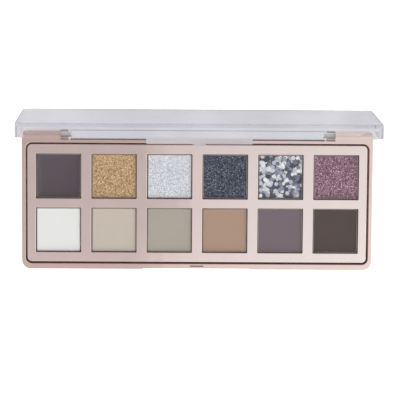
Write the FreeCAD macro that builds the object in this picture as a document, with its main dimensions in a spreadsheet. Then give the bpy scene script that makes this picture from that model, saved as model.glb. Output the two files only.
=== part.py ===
import FreeCAD, Part
import math
import os
import Sketcher

# Eyeshadow palette: a shallow moulded case holding two rows of square tin pans of
# pressed powder, with a clear lid on a pin hinge. Millimetres, +Z up, +X right,
# front towards -Y, origin at the centre of the underside. The lid stands fully open.

# Shades in each row, left to right, back row first. One pan and one cake per shade.
SHADES = (
    ("plum", "gold", "silver", "slate", "confetti", "mauve"),
    ("white", "beige", "sage", "tan", "heather", "espresso"),
)
COLUMNS = len(SHADES[0])
ROWS = len(SHADES)

# Driving dimensions. The case is laid out round the pans, from the inside out.
DIMENSIONS = {
    # Pans and powder
    "pan_size": 18.86,  # outside of a square tin pan
    "pan_height": 3.75,  # outside height of a pan
    "pan_corner": 0.5,  # outside corner radius of a pan
    "pan_wall": 0.2,  # tin thickness, walls and floor
    "powder_gap": 0.03,  # powder cake to pan wall
    "powder_rise": 0.1,  # powder surface above the pan's rim
    "powder_round": 0.1,  # rounding of the cake's top edge
    "pan_glue": 0.15,  # glue dot thickness
    "glue_radius": 4.0,  # glue dot radius
    # Tray that frames the pans
    "pan_gap": 0.3,  # pan to the wall of its well, each side
    "pan_recess": 1.15,  # pan rim below the frame's face
    "well_corner": 0.35,  # corner radius of a well and its window
    "rib_width": 4.46,  # frame between two wells of a row
    "row_rib": 3.94,  # frame between the two rows
    "side_margin": 3.67,  # frame outside the end wells
    "row_margin": 4.12,  # frame in front of and behind the rows
    "frame_corner": 2.0,  # corner radius of the frame
    "frame_round": 0.35,  # rounding round the outside of the frame's face
    "window_round": 0.2,  # rounding of the windows' edges
    "frame_plate": 1.6,  # thickness of the frame's face
    "well_floor": 1.2,  # floor under each pan
    "well_wall": 1.1,  # wall round each well, and skirt of the tray
    "tray_glue": 0.1,  # adhesive strip thickness
    "strip_width": 10.0,  # adhesive strip, front to back
    "strip_inset": 6.0,  # end of an adhesive strip from the end of the tray
    # Case base
    "frame_gap": 0.7,  # groove between frame and case rim
    "frame_recess": 0.3,  # frame face below the rim
    "side_wall": 1.6,
    "front_wall": 2.4,
    "back_wall": 1.1,  # between tray and hinge bay
    "base_floor": 1.35,
    "case_corner": 3.7,  # front corner radius of base and lid
    "back_corner": 2.0,  # corner radius beside the hinge
    "rim_round": 0.25,  # rounding of the rim's edges
    "foot_round": 0.8,  # rounding round the underside
    # Hinge
    "barrel_radius": 1.9,  # hinge barrel, flush with the back face
    "barrel_gap": 0.2,  # barrel to the front wall of its bay
    "stop_gap": 0.1,  # hinge leaf to the ledges it stops on
    "stop_width": 3.5,  # ledge at each end of the hinge bay
    "block_width": 16.3,  # hinge block at each back corner
    "end_gap": 0.25,  # barrel end to hinge block
    "pin_radius": 0.75,
    "pin_play": 0.05,  # running clearance of the pin in the barrel
    "pin_engage": 4.4,  # pin length inside the barrel
    "pin_end_gap": 0.3,  # pin end to the bottom of its hole
    "pin_inset": 0.3,  # outer pin end below the side of the case
    "pin_chamfer": 0.15,
    "open_angle": 90.0,  # lid from closed to its stop, degrees
    # Lid
    "lid_height": 6.0,
    "lid_panel": 1.6,
    "lid_wall": 1.5,
    "lid_round": 0.5,  # rounding round the lid's face
    "rim_gap": 0.15,  # lid rim to base rim when shut
    # Thumb tab and its notch in the base
    "tab_width": 43.4,
    "tab_drop": 2.25,  # tab below the lid's rim
    "tab_thick": 1.0,
    "tab_side_gap": 1.6,  # tab to the notch's ends
    "tab_floor_gap": 0.15,  # tab to the notch's ledge
    "tab_back_gap": 0.3,  # catch tongue to the notch's wall
    "notch_corner": 0.6,
    "tongue_root": 8.2,  # catch tongue width at the tab
    "tongue_tip": 4.9,  # catch tongue width at its end
    "tongue_thick": 0.35,
    "tongue_length": 1.7,
    "tongue_reach": 0.45,  # catch tongue past the tab's end
    "slot_gap": 0.15,  # catch slot to the tongue, all round
    "slot_depth": 0.8,  # catch slot below the ledge
}

doc = FreeCAD.newDocument("eyeshadow_palette")
dims = doc.addObject("Spreadsheet::Sheet", "dims")
for row_number, (size_name, size_value) in enumerate(DIMENSIONS.items(), start=1):
    dims.set(f"A{row_number}", size_name.replace("_", " "))
    dims.set(f"B{row_number}", str(size_value))
    dims.setAlias(f"B{row_number}", size_name)
doc.recompute()

# Layout worked out from the driving dimensions, as expressions.
# Across the case
WELL = "(dims.pan_size + 2 * dims.pan_gap)"
PITCH_X = f"({WELL} + dims.rib_width)"
PITCH_Y = f"({WELL} + dims.row_rib)"
FRAME_WIDTH = f"({COLUMNS} * {WELL} + {COLUMNS - 1} * dims.rib_width + 2 * dims.side_margin)"
FRAME_DEPTH = f"({ROWS} * {WELL} + {ROWS - 1} * dims.row_rib + 2 * dims.row_margin)"
SEAT_WIDTH = f"({FRAME_WIDTH} + 2 * dims.frame_gap)"
SEAT_DEPTH = f"({FRAME_DEPTH} + 2 * dims.frame_gap)"
BAY_DEPTH = "(2 * dims.barrel_radius + dims.barrel_gap)"
CASE_WIDTH = f"({SEAT_WIDTH} + 2 * dims.side_wall)"
CASE_DEPTH = f"(dims.front_wall + {SEAT_DEPTH} + dims.back_wall + {BAY_DEPTH})"
BAY_WIDTH = f"({CASE_WIDTH} - 2 * dims.block_width)"
FRAME_Y = f"(dims.front_wall + {SEAT_DEPTH} / 2 - {CASE_DEPTH} / 2)"
# Up through the case
TRAY_BOTTOM = "(dims.base_floor + dims.tray_glue)"
WELL_BOTTOM = f"({TRAY_BOTTOM} + dims.well_floor)"
PAN_BOTTOM = f"({WELL_BOTTOM} + dims.pan_glue)"
PAN_RIM = f"({PAN_BOTTOM} + dims.pan_height)"
FRAME_TOP = f"({PAN_RIM} + dims.pan_recess)"
RIM = f"({FRAME_TOP} + dims.frame_recess)"
LID_RIM = f"({RIM} + dims.rim_gap)"
# Hinge axis
HINGE_Y = f"({CASE_DEPTH} / 2 - dims.barrel_radius)"
HINGE_Z = "(dims.base_floor + dims.stop_gap + dims.barrel_radius)"
HINGE_DROP = f"({RIM} - {HINGE_Z})"
BARREL_END = f"({BAY_WIDTH} / 2 - dims.end_gap)"
PIN_OUTER = f"({CASE_WIDTH} / 2 - dims.pin_inset)"
PIN_LENGTH = "(dims.block_width - dims.pin_inset + dims.end_gap + dims.pin_engage)"
# Thumb tab and catch, on the closed lid
TAB_END = f"({LID_RIM} - dims.tab_drop)"
LEDGE = f"({TAB_END} - dims.tab_floor_gap)"
NOTCH_DEPTH = "(dims.tab_thick + dims.tongue_thick + dims.tab_back_gap)"
# The tongue tapers, so it is this wide where it enters the slot in the ledge.
TONGUE_FLARE = "((dims.tongue_root - dims.tongue_tip) / dims.tongue_length)"
TONGUE_AT_LEDGE = f"(dims.tongue_tip + {TONGUE_FLARE} * (dims.tongue_reach - dims.tab_floor_gap))"


def measure(expression):
    """Value of a layout expression, in millimetres."""
    return float(dims.evalExpression(expression))


def new_body(label):
    body = doc.addObject("PartDesign::Body", label)
    body.Label = label
    return body


def new_sketch(body, name, plane, offset):
    """Sketch on an origin plane of its body, moved by three expressions along its own axes."""
    sketch = body.newObject("Sketcher::SketchObject", name)
    planes = {feature.Role: feature for feature in body.Origin.OriginFeatures}
    sketch.AttachmentSupport = [(planes[plane], "")]
    sketch.MapMode = "FlatFace"
    for axis, expression in zip("xyz", offset):
        sketch.setExpression(f"AttachmentOffset.Base.{axis}", expression)
    return sketch


def add_size(sketch, name, expression, *constraint):
    """Dimension of a sketch, bound to an expression."""
    index = sketch.addConstraint(Sketcher.Constraint(*constraint, measure(expression)))
    sketch.renameConstraint(index, name)
    sketch.setExpression(f"Constraints.{name}", expression)


def add_outline(sketch, points):
    """Closed outline of straight lines through points, joined end to end."""
    corners = [FreeCAD.Vector(x, y, 0) for x, y in points]
    count = len(corners)
    for i in range(count):
        sketch.addGeometry(Part.LineSegment(corners[i], corners[(i + 1) % count]))
    for i in range(count):
        sketch.addConstraint(Sketcher.Constraint("Coincident", i, 2, (i + 1) % count, 1))


def draw_rectangle(sketch, width, depth):
    """Rectangle centred on the sketch's origin."""
    x = measure(width) / 2
    y = measure(depth) / 2
    add_outline(sketch, ((-x, -y), (x, -y), (x, y), (-x, y)))
    for direction, line in (("Horizontal", 0), ("Vertical", 1), ("Horizontal", 2), ("Vertical", 3)):
        sketch.addConstraint(Sketcher.Constraint(direction, line))
    sketch.addConstraint(Sketcher.Constraint("Symmetric", 0, 1, 2, 1, -1, 1))
    add_size(sketch, "width", width, "DistanceX", 0, 1, 0, 2)
    add_size(sketch, "depth", depth, "DistanceY", 1, 1, 1, 2)


def draw_rounded_rectangle(sketch, width, depth, radius, back_radius=None):
    """Rectangle with rounded corners, centred on the sketch's origin. The back pair may differ.

    Sides 0 to 3 run anticlockwise from the front, and arc i + 4 follows side i.
    """
    back_radius = back_radius or radius
    x = measure(width) / 2
    y = measure(depth) / 2
    front = measure(radius)
    back = measure(back_radius)
    sides = (
        ((front - x, -y), (x - front, -y)),
        ((x, front - y), (x, y - back)),
        ((x - back, y), (back - x, y)),
        ((-x, y - back), (-x, front - y)),
    )
    for start, end in sides:
        sketch.addGeometry(Part.LineSegment(FreeCAD.Vector(*start, 0), FreeCAD.Vector(*end, 0)))
    arcs = (
        (x - front, front - y, front),
        (x - back, y - back, back),
        (back - x, y - back, back),
        (front - x, front - y, front),
    )
    up = FreeCAD.Vector(0, 0, 1)
    for i, (centre_x, centre_y, size) in enumerate(arcs):
        circle = Part.Circle(FreeCAD.Vector(centre_x, centre_y, 0), up, size)
        sketch.addGeometry(Part.ArcOfCircle(circle, (i - 1) * math.pi / 2, i * math.pi / 2))
    for i in range(4):
        sketch.addConstraint(Sketcher.Constraint("Tangent", i, 2, i + 4, 1))
        sketch.addConstraint(Sketcher.Constraint("Tangent", i + 4, 2, (i + 1) % 4, 1))
        sketch.addConstraint(Sketcher.Constraint("Vertical" if i % 2 else "Horizontal", i))
    sketch.addConstraint(Sketcher.Constraint("Equal", 4, 7))
    sketch.addConstraint(Sketcher.Constraint("Equal", 5, 6))
    add_size(sketch, "width", width, "DistanceX", 3, 1, 1, 1)
    add_size(sketch, "depth", depth, "DistanceY", 0, 1, 2, 1)
    add_size(sketch, "half_width", f"({width}) / 2", "DistanceX", -1, 1, 1, 1)
    add_size(sketch, "half_depth", f"({depth}) / 2", "DistanceY", -1, 1, 2, 1)
    add_size(sketch, "radius", radius, "Radius", 4)
    add_size(sketch, "back_radius", back_radius, "Radius", 5)


def draw_circle(sketch, radius):
    """Circle centred on the sketch's origin."""
    sketch.addGeometry(Part.Circle(FreeCAD.Vector(), FreeCAD.Vector(0, 0, 1), measure(radius)))
    sketch.addConstraint(Sketcher.Constraint("Coincident", 0, 3, -1, 1))
    add_size(sketch, "radius", radius, "Radius", 0)


def pad(body, sketch, length, reverse=False, both_ways=False):
    """Material added along the sketch's normal, against it, or half each way."""
    feature = body.newObject("PartDesign::Pad", sketch.Name + "_pad")
    feature.Profile = sketch
    feature.setExpression("Length", length)
    feature.Reversed = reverse
    feature.Midplane = both_ways
    doc.recompute()
    return feature


def pocket(body, sketch, length, reverse=False, both_ways=False):
    """Material cut away against the sketch's normal, along it, or half each way."""
    before = body.Shape.Volume
    feature = body.newObject("PartDesign::Pocket", sketch.Name + "_cut")
    feature.Profile = sketch
    feature.setExpression("Length", length)
    feature.Reversed = reverse
    feature.Midplane = both_ways
    doc.recompute()
    if not body.Shape.Volume < before:
        raise RuntimeError(f"{feature.Name} cuts nothing")
    return feature


def repeat_along_row(body, feature):
    """Pattern of a feature over the columns of a row."""
    pattern = body.newObject("PartDesign::LinearPattern", feature.Name + "_row")
    pattern.Originals = [feature]
    pattern.Direction = (feature.Profile[0], ["H_Axis"])
    pattern.setExpression("Length", f"{COLUMNS - 1} * {PITCH_X}")
    pattern.Occurrences = COLUMNS
    body.Tip = pattern
    doc.recompute()


def level_edges(shape, height, outside, holes):
    """Names of the edges of the level faces at a height: round their outside, their holes or both."""
    tolerance = 1e-4
    wanted = []
    for face in shape.Faces:
        box = face.BoundBox
        if abs(box.ZMin - height) < tolerance and abs(box.ZMax - height) < tolerance:
            for wire in face.Wires:
                if outside if wire.isSame(face.OuterWire) else holes:
                    wanted.extend(wire.Edges)
    return [
        f"Edge{number}"
        for number, edge in enumerate(shape.Edges, start=1)
        if any(edge.isSame(other) for other in wanted)
    ]


def round_face_edges(body, name, height, radius, outside=True, holes=True):
    """Rounding of the edges of the level face at a height."""
    base = body.Tip
    feature = body.newObject("PartDesign::Fillet", name)
    feature.Base = (base, level_edges(base.Shape, measure(height), outside, holes))
    feature.setExpression("Radius", radius)
    doc.recompute()


def column_x(column):
    """Centre of a column of pans, counted from the left."""
    return f"({column - (COLUMNS - 1) / 2} * {PITCH_X})"


def row_y(row):
    """Centre of a row of pans, counted from the back."""
    return f"({FRAME_Y} + {(ROWS - 1) / 2 - row} * {PITCH_Y})"


def move_to(part, x, y, z):
    """Place of a part, as three expressions."""
    for axis, expression in (("x", x), ("y", y), ("z", z)):
        part.setExpression(f"Placement.Base.{axis}", expression)


def make_base_shell():
    """Case base: a seat for the tray, hinge blocks at the back corners, a thumb notch in front."""
    body = new_body("base_shell")
    outline = new_sketch(body, "base_outline", "XY_Plane", ("0", "0", "0"))
    draw_rounded_rectangle(outline, CASE_WIDTH, CASE_DEPTH, "dims.case_corner", "dims.back_corner")
    pad(body, outline, RIM)
    seat = new_sketch(body, "tray_seat", "XY_Plane", ("0", FRAME_Y, RIM))
    draw_rounded_rectangle(seat, SEAT_WIDTH, SEAT_DEPTH, "dims.frame_corner + dims.frame_gap")
    pocket(body, seat, f"{RIM} - dims.base_floor")
    round_face_edges(body, "rim_rounding", RIM, "dims.rim_round")
    round_face_edges(body, "foot_rounding", "0", "dims.foot_round")

    # The bay and the notch run out through the back and front faces. The bay is open
    # below, apart from a ledge at each end that stops the hinge leaf.
    bay = new_sketch(body, "hinge_bay", "XY_Plane", ("0", f"{CASE_DEPTH} / 2", RIM))
    draw_rectangle(bay, BAY_WIDTH, f"2 * {BAY_DEPTH}")
    pocket(body, bay, f"{RIM} - dims.base_floor")
    bay_floor = new_sketch(body, "bay_floor", "XY_Plane", ("0", f"{CASE_DEPTH} / 2", "dims.base_floor"))
    draw_rectangle(bay_floor, f"{BAY_WIDTH} - 2 * dims.stop_width", f"2 * {BAY_DEPTH}")
    pocket(body, bay_floor, "dims.base_floor")
    notch = new_sketch(body, "thumb_notch", "XY_Plane", ("0", f"-{CASE_DEPTH} / 2", RIM))
    notch_width = "dims.tab_width + 2 * dims.tab_side_gap"
    draw_rounded_rectangle(notch, notch_width, f"2 * {NOTCH_DEPTH}", "dims.notch_corner")
    pocket(body, notch, f"{RIM} - {LEDGE}")
    tongue_y = f"(dims.tab_thick + dims.tongue_thick / 2 - {CASE_DEPTH} / 2)"
    slot = new_sketch(body, "catch_slot", "XY_Plane", ("0", tongue_y, LEDGE))
    slot_width = f"{TONGUE_AT_LEDGE} + 2 * dims.slot_gap"
    draw_rectangle(slot, slot_width, "dims.tongue_thick + 2 * dims.slot_gap")
    pocket(body, slot, "dims.slot_depth")

    round_hinge_blocks(body)
    pin_hole = new_sketch(body, "pin_hole", "YZ_Plane", (HINGE_Y, HINGE_Z, "0"))
    draw_circle(pin_hole, "dims.pin_radius")
    pocket(body, pin_hole, f"2 * {CASE_WIDTH}", both_ways=True)
    return body


def round_hinge_blocks(body):
    """Top of the hinge blocks rounded about the hinge axis, so that the lid's rim clears them."""
    sketch = new_sketch(body, "knuckle_round", "YZ_Plane", (HINGE_Y, HINGE_Z, "0"))
    radius = measure(HINGE_DROP)
    reach_expression = "dims.barrel_radius + dims.rim_round"
    reach = measure(reach_expression)
    low = math.sqrt(radius ** 2 - reach ** 2)
    circle = Part.Circle(FreeCAD.Vector(), FreeCAD.Vector(0, 0, 1), radius)
    sketch.addGeometry(Part.ArcOfCircle(circle, math.atan2(low, reach), math.pi / 2))
    top = FreeCAD.Vector(0, radius, 0)
    corner = FreeCAD.Vector(reach, radius, 0)
    sketch.addGeometry(Part.LineSegment(top, corner))
    sketch.addGeometry(Part.LineSegment(corner, FreeCAD.Vector(reach, low, 0)))
    sketch.addConstraint(Sketcher.Constraint("Coincident", 0, 3, -1, 1))
    sketch.addConstraint(Sketcher.Constraint("Tangent", 0, 2, 1, 1))
    sketch.addConstraint(Sketcher.Constraint("Coincident", 1, 2, 2, 1))
    sketch.addConstraint(Sketcher.Constraint("Coincident", 2, 2, 0, 1))
    sketch.addConstraint(Sketcher.Constraint("Horizontal", 1))
    sketch.addConstraint(Sketcher.Constraint("Vertical", 2))
    add_size(sketch, "radius", HINGE_DROP, "Radius", 0)
    add_size(sketch, "reach", reach_expression, "DistanceX", 1, 1, 1, 2)
    pocket(body, sketch, f"2 * {CASE_WIDTH}", both_ways=True)


def make_pan_tray():
    """Moulded tray: a frame plate with a skirt, and a walled well under each window."""
    body = new_body("pan_tray")
    skirt = new_sketch(body, "tray_outline", "XY_Plane", ("0", FRAME_Y, TRAY_BOTTOM))
    draw_rounded_rectangle(skirt, FRAME_WIDTH, FRAME_DEPTH, "dims.frame_corner")
    pad(body, skirt, f"{FRAME_TOP} - {TRAY_BOTTOM}")
    hollow = new_sketch(body, "tray_hollow", "XY_Plane", ("0", FRAME_Y, TRAY_BOTTOM))
    hollow_width = f"{FRAME_WIDTH} - 2 * dims.well_wall"
    hollow_depth = f"{FRAME_DEPTH} - 2 * dims.well_wall"
    draw_rounded_rectangle(hollow, hollow_width, hollow_depth, "dims.frame_corner / 2")
    pocket(body, hollow, f"{FRAME_TOP} - {TRAY_BOTTOM} - dims.frame_plate", reverse=True)
    cup_size = f"{WELL} + 2 * dims.well_wall"
    for row in range(ROWS):
        cup = new_sketch(body, f"well_wall_{row}", "XY_Plane", (column_x(0), row_y(row), TRAY_BOTTOM))
        draw_rounded_rectangle(cup, cup_size, cup_size, "dims.well_corner + dims.well_wall")
        repeat_along_row(body, pad(body, cup, f"{FRAME_TOP} - {TRAY_BOTTOM} - dims.frame_plate / 2"))
    for row in range(ROWS):
        well = new_sketch(body, f"well_{row}", "XY_Plane", (column_x(0), row_y(row), FRAME_TOP))
        draw_rounded_rectangle(well, WELL, WELL, "dims.well_corner")
        repeat_along_row(body, pocket(body, well, f"{FRAME_TOP} - {WELL_BOTTOM}"))
    round_face_edges(body, "frame_rounding", FRAME_TOP, "dims.frame_round", holes=False)
    round_face_edges(body, "window_rounding", FRAME_TOP, "dims.window_round", outside=False)
    return body


def make_pan(shade, row, column):
    """Square tin pan, open at the top."""
    body = new_body(f"pan_{shade}")
    outside = new_sketch(body, f"{shade}_pan_outline", "XY_Plane", ("0", "0", "0"))
    draw_rounded_rectangle(outside, "dims.pan_size", "dims.pan_size", "dims.pan_corner")
    pad(body, outside, "dims.pan_height")
    inside = new_sketch(body, f"{shade}_pan_inside", "XY_Plane", ("0", "0", "dims.pan_height"))
    inside_size = "dims.pan_size - 2 * dims.pan_wall"
    draw_rounded_rectangle(inside, inside_size, inside_size, "dims.pan_corner - dims.pan_wall")
    pocket(body, inside, "dims.pan_height - dims.pan_wall")
    move_to(body, column_x(column), row_y(row), PAN_BOTTOM)
    return body


def make_powder(shade, row, column):
    """Cake of pressed powder, filling its pan to just above the rim."""
    body = new_body(f"powder_{shade}")
    outline = new_sketch(body, f"{shade}_cake_outline", "XY_Plane", ("0", "0", "0"))
    cake_size = "dims.pan_size - 2 * dims.pan_wall - 2 * dims.powder_gap"
    cake_corner = "dims.pan_corner - dims.pan_wall - dims.powder_gap"
    cake_height = "dims.pan_height - dims.pan_wall + dims.powder_rise"
    draw_rounded_rectangle(outline, cake_size, cake_size, cake_corner)
    pad(body, outline, cake_height)
    round_face_edges(body, f"{shade}_cake_rounding", cake_height, "dims.powder_round")
    move_to(body, column_x(column), row_y(row), f"{PAN_BOTTOM} + dims.pan_wall")
    return body


def make_pan_glue():
    """One glue dot under each pan."""
    dots = []
    for row in range(ROWS):
        for column in range(COLUMNS):
            dot = doc.addObject("Part::Cylinder", f"glue_dot_{row}_{column}")
            dot.setExpression("Radius", "dims.glue_radius")
            dot.setExpression("Height", "dims.pan_glue")
            move_to(dot, column_x(column), row_y(row), WELL_BOTTOM)
            dots.append(dot)
    return make_group("pan_glue_dots", dots)


def make_tray_strips():
    """One adhesive strip under each row of wells."""
    length = f"({FRAME_WIDTH} - 2 * dims.strip_inset)"
    strips = []
    for row in range(ROWS):
        strip = doc.addObject("Part::Box", f"strip_{row}")
        strip.setExpression("Length", length)
        strip.setExpression("Width", "dims.strip_width")
        strip.setExpression("Height", "dims.tray_glue")
        move_to(strip, f"-{length} / 2", f"{row_y(row)} - dims.strip_width / 2", "dims.base_floor")
        strips.append(strip)
    return make_group("tray_adhesive_strips", strips)


def make_group(label, members):
    """Like pieces kept as separate solids under one name."""
    group = doc.addObject("Part::Compound", label)
    group.Label = label
    group.Links = members
    return group


def make_hinge_pin(side, start):
    """Steel pin pressed into a hinge block, with its inner end in the lid's barrel."""
    body = new_body(f"hinge_pin_{side}")
    section = new_sketch(body, f"pin_section_{side}", "YZ_Plane", (HINGE_Y, HINGE_Z, start))
    draw_circle(section, "dims.pin_radius")
    shaft = pad(body, section, PIN_LENGTH)
    ends = [f"Face{i}" for i, face in enumerate(shaft.Shape.Faces, start=1) if face.Surface.isPlanar()]
    bevel = body.newObject("PartDesign::Chamfer", f"pin_bevel_{side}")
    bevel.Base = (shaft, ends)
    bevel.setExpression("Size", "dims.pin_chamfer")
    return body


def make_lid():
    """Clear lid, drawn shut and then swung open: panel and skirt, hinge leaf, thumb tab, tongue."""
    body = new_body("lid")
    outline = new_sketch(body, "lid_outline", "XY_Plane", ("0", "0", LID_RIM))
    draw_rounded_rectangle(outline, CASE_WIDTH, CASE_DEPTH, "dims.case_corner", "dims.back_corner")
    pad(body, outline, "dims.lid_height")
    round_face_edges(body, "lid_rounding", f"{LID_RIM} + dims.lid_height", "dims.lid_round")
    inside = new_sketch(body, "lid_inside", "XY_Plane", ("0", "0", LID_RIM))
    inside_width = f"{CASE_WIDTH} - 2 * dims.lid_wall"
    inside_depth = f"{CASE_DEPTH} - 2 * dims.lid_wall"
    draw_rounded_rectangle(inside, inside_width, inside_depth, "dims.case_corner - dims.lid_wall")
    pocket(body, inside, "dims.lid_height - dims.lid_panel", reverse=True)
    add_hinge_leaf(body)
    add_thumb_tab(body)
    hinge_line = FreeCAD.Vector(0, measure(HINGE_Y), measure(HINGE_Z))
    opening = FreeCAD.Rotation(FreeCAD.Vector(-1, 0, 0), measure("dims.open_angle"))
    body.Placement = FreeCAD.Placement(FreeCAD.Vector(), opening, hinge_line)
    return body


def add_hinge_leaf(body):
    """Leaf hanging from the lid's back wall and ending in the barrel, with a pin hole in each end.

    In the section the leaf's back face is tangent to the barrel, and the hinge axis is the origin.
    """
    sketch = new_sketch(body, "leaf_section", "YZ_Plane", (HINGE_Y, HINGE_Z, "0"))
    radius = measure("dims.barrel_radius")
    front = radius - measure("dims.lid_wall")
    top_expression = f"{HINGE_DROP} + dims.rim_gap + dims.lid_wall"
    top = measure(top_expression)
    meet = math.sqrt(radius ** 2 - front ** 2)
    outline = ((radius, 0), (radius, top), (front, top), (front, meet))
    corners = [FreeCAD.Vector(y, z, 0) for y, z in outline]
    for start, end in zip(corners, corners[1:]):
        sketch.addGeometry(Part.LineSegment(start, end))
    circle = Part.Circle(FreeCAD.Vector(), FreeCAD.Vector(0, 0, 1), radius)
    sketch.addGeometry(Part.ArcOfCircle(circle, math.atan2(meet, front), 2 * math.pi))
    sketch.addConstraint(Sketcher.Constraint("Coincident", 0, 2, 1, 1))
    sketch.addConstraint(Sketcher.Constraint("Coincident", 1, 2, 2, 1))
    sketch.addConstraint(Sketcher.Constraint("Coincident", 2, 2, 3, 1))
    sketch.addConstraint(Sketcher.Constraint("Tangent", 3, 2, 0, 1))
    sketch.addConstraint(Sketcher.Constraint("Coincident", 3, 3, -1, 1))
    sketch.addConstraint(Sketcher.Constraint("Vertical", 0))
    sketch.addConstraint(Sketcher.Constraint("Horizontal", 1))
    sketch.addConstraint(Sketcher.Constraint("Vertical", 2))
    add_size(sketch, "radius", "dims.barrel_radius", "Radius", 3)
    add_size(sketch, "thickness", "dims.lid_wall", "DistanceX", 1, 2, 1, 1)
    add_size(sketch, "height", top_expression, "DistanceY", 0, 1, 0, 2)
    pad(body, sketch, f"2 * {BARREL_END}", both_ways=True)
    for side, end, inward in (("left", f"-{BARREL_END}", True), ("right", BARREL_END, False)):
        hole = new_sketch(body, f"barrel_hole_{side}", "YZ_Plane", (HINGE_Y, HINGE_Z, end))
        draw_circle(hole, "dims.pin_radius + dims.pin_play")
        pocket(body, hole, "dims.pin_engage + dims.pin_end_gap", reverse=inward)


def add_thumb_tab(body):
    """Tab below the lid's front edge, with a tapered catch tongue on its inner face."""
    tab = new_sketch(body, "thumb_tab", "XZ_Plane", ("0", LID_RIM, f"{CASE_DEPTH} / 2"))
    draw_rounded_rectangle(tab, "dims.tab_width", "2 * dims.tab_drop", "dims.notch_corner")
    pad(body, tab, "dims.tab_thick", reverse=True)
    tongue_place = ("0", f"{TAB_END} - dims.tongue_reach", f"{CASE_DEPTH} / 2 - dims.tab_thick")
    tongue = new_sketch(body, "catch_tongue", "XZ_Plane", tongue_place)
    root = measure("dims.tongue_root") / 2
    tip = measure("dims.tongue_tip") / 2
    length = measure("dims.tongue_length")
    add_outline(tongue, ((-tip, 0), (tip, 0), (root, length), (-root, length)))
    tongue.addConstraint(Sketcher.Constraint("Horizontal", 0))
    tongue.addConstraint(Sketcher.Constraint("Symmetric", 0, 1, 0, 2, -1, 1))
    tongue.addConstraint(Sketcher.Constraint("Symmetric", 2, 2, 2, 1, -2))
    add_size(tongue, "tip", "dims.tongue_tip", "DistanceX", 0, 1, 0, 2)
    add_size(tongue, "root", "dims.tongue_root", "DistanceX", 2, 2, 2, 1)
    add_size(tongue, "length", "dims.tongue_length", "DistanceY", 1, 1, 1, 2)
    pad(body, tongue, "dims.tongue_thick", reverse=True)


parts = [
    make_base_shell(),
    make_pan_tray(),
    make_lid(),
    make_hinge_pin("left", f"-{PIN_OUTER}"),
    make_hinge_pin("right", f"{PIN_OUTER} - {PIN_LENGTH}"),
    make_pan_glue(),
    make_tray_strips(),
]
for row, shades in enumerate(SHADES):
    for column, shade in enumerate(shades):
        parts.append(make_pan(shade, row, column))
        parts.append(make_powder(shade, row, column))
doc.recompute()

for item in doc.Objects:
    if {"Invalid", "Error"} & set(item.State):
        raise RuntimeError(f"{item.Name} failed: {item.State}")
for part in parts:
    if part.Shape.isNull() or not part.Shape.isValid():
        raise RuntimeError(f"{part.Label} has no valid shape")

os.makedirs("parts", exist_ok=True)
for part in parts:
    part.Shape.exportStep(f"parts/{part.Label}.step")
    box = part.Shape.optimalBoundingBox(True, False)
    print(f"{part.Label}: {len(part.Shape.Solids)} solids, {part.Shape.Volume:.1f} mm3,"
          f" x {box.XMin:.2f} {box.XMax:.2f}, y {box.YMin:.2f} {box.YMax:.2f},"
          f" z {box.ZMin:.2f} {box.ZMax:.2f}")
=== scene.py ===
# %% [markdown]
# # Dressing an eyeshadow palette
#
# The palette is a slim hinged box: a rose-metallised case, a glossy frame with twelve windows,
# a tin pan with a pressed powder in each window, and a clear lid that stands open on two pins.
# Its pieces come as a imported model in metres, already at their real size and place.
# The shells, pans and pins keep that shape here and get their finishes. The powders are new
# surfaces, because a pressed cake has a grain and a brim that plain blocks don't have.

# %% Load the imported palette
import math

import bpy
import numpy as np
from mathutils import Matrix, Vector


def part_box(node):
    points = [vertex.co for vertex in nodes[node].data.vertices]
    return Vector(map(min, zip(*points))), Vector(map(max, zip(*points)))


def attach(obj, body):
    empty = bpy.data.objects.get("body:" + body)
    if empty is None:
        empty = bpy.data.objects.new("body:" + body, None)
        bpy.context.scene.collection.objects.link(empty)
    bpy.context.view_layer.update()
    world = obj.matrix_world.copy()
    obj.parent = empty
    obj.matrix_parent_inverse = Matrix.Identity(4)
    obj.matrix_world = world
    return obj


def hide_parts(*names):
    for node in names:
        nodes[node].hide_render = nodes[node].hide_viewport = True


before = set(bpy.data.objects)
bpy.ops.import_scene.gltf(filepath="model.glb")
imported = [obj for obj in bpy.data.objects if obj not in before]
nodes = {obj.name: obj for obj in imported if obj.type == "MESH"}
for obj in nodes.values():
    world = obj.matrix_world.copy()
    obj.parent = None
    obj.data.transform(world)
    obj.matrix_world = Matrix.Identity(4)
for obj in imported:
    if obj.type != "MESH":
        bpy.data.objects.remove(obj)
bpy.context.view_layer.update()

MM = 0.001

# %% [markdown]
# ## The camera
#
# The picture looks almost straight down, from a little behind the hinge, through a long lens.
# A camera can be turned with angles or aimed with a constraint. Here its matrix is built from
# three directions, because those also take the slight roll of a hand-levelled product picture.

# %% Aim the camera
CAMERA_AT = Vector((-13.9, 143.6, 1049.2)) * MM
CAMERA_AIM = Vector((1.18, 0.33, 8.0)) * MM
CAMERA_ROLL = math.radians(-0.43)
LENS_MM = 219.5
SENSOR_MM = 36.0


def make_camera():
    """Looks from CAMERA_AT to CAMERA_AIM with +Y up, then rolls about that line."""
    data = bpy.data.cameras.new("studio_camera")
    data.lens = LENS_MM
    data.sensor_width = SENSOR_MM
    camera = bpy.data.objects.new("studio_camera", data)
    bpy.context.scene.collection.objects.link(camera)
    look = (CAMERA_AIM - CAMERA_AT).normalized()
    level_right = look.cross(Vector((0, 1, 0))).normalized()
    level_up = level_right.cross(look)
    up = level_up * math.cos(CAMERA_ROLL) + level_right * math.sin(CAMERA_ROLL)
    right = look.cross(up)
    turn = Matrix((right, up, -look)).transposed().to_4x4()
    camera.matrix_world = Matrix.Translation(CAMERA_AT) @ turn
    return camera


bpy.context.scene.camera = make_camera()
bpy.context.scene.view_settings.view_transform = "Standard"
print("camera distance in mm:", round((CAMERA_AIM - CAMERA_AT).length / MM))

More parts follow.
